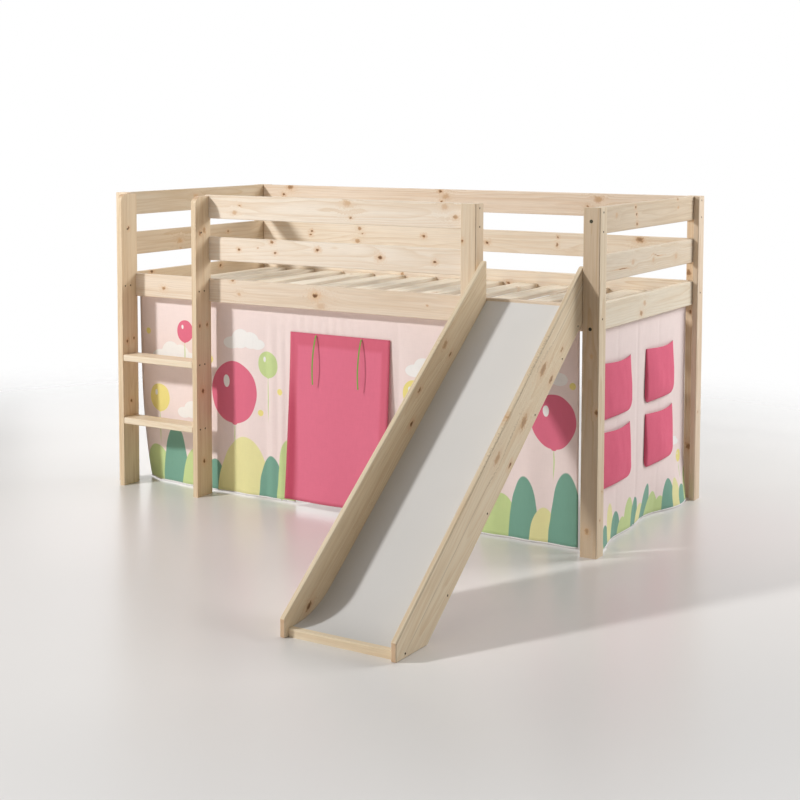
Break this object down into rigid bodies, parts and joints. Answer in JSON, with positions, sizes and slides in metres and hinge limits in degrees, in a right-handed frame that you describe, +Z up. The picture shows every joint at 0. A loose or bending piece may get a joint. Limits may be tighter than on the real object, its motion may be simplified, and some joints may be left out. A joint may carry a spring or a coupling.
{
  "type": "loft bed",
  "caption": "Child's mid-height loft bed in pine with guard rails, a ladder, a slide and a fabric play curtain with a door flap and pockets below.",
  "frame": {"origin": "on the floor under the middle of the whole piece of furniture, slide included", "axes": "+X along the bed from the ladder to the slide, +Y from the slide's foot to the rear rails, +Z up"},
  "size_m": [2.08, 2.158, 1.164],
  "materials": {
    "pine": "clear satin lacquer",
    "slide_surface": "glossy white",
    "curtain_fabric": "light pink cotton",
    "accent_fabric": "dark pink cotton",
    "ribbon": "light green woven ribbon",
    "bolt": "dark satin"
  },
  "bodies": {
    "frame": {"end_curtain": "curtain_fabric", "front_curtain": "curtain_fabric", "front_left_post": "pine", "front_left_post_bolt_low": "bolt", "front_left_post_bolt_top": "bolt", "front_right_post": "pine", "front_right_post_bolt_low": "bolt", "front_right_post_bolt_top": "bolt", "front_side_rail": "pine", "guard_post": "pine", "guard_rail_middle": "pine", "guard_rail_top": "pine", "ladder_board_left": "pine", "ladder_board_right": "pine", "ladder_rung_1": "pine", "ladder_rung_2": "pine", "left_end_rail_low": "pine", "left_end_rail_middle": "pine", "left_end_rail_top": "pine", "pocket_lower_front": "accent_fabric", "pocket_lower_rear": "accent_fabric", "pocket_upper_front": "accent_fabric", "pocket_upper_rear": "accent_fabric", "rear_left_post": "pine", "rear_left_post_bolt_low": "bolt", "rear_left_post_bolt_top": "bolt", "rear_rail_low": "pine", "rear_rail_middle": "pine", "rear_rail_top": "pine", "rear_right_post": "pine", "rear_right_post_bolt_low": "bolt", "rear_right_post_bolt_top": "bolt", "right_end_rail_low": "pine", "right_end_rail_middle": "pine", "right_end_rail_top": "pine", "slat_01": "pine", "slat_02": "pine", "slat_03": "pine", "slat_04": "pine", "slat_05": "pine", "slat_06": "pine", "slat_07": "pine", "slat_08": "pine", "slat_09": "pine", "slat_10": "pine", "slat_11": "pine", "slat_12": "pine", "slat_13": "pine", "slide_batten_1": "pine", "slide_batten_2": "pine", "slide_batten_3": "pine", "slide_batten_4": "pine", "slide_batten_5": "pine", "slide_board_left": "pine", "slide_board_right": "pine", "slide_foot_bar": "pine", "slide_panel": "slide_surface"},
    "door": {"door_flap": "accent_fabric", "door_ribbon_left": "ribbon", "door_ribbon_right": "ribbon"}
  },
  "joints": [
    {"name": "door_swing", "type": "hinge", "parent": "frame", "child": "door", "pos_m": [-0.014, 0.1598, 0.658], "axis": [-1, 0, 0], "range_deg": [0, 120]}
  ]
}
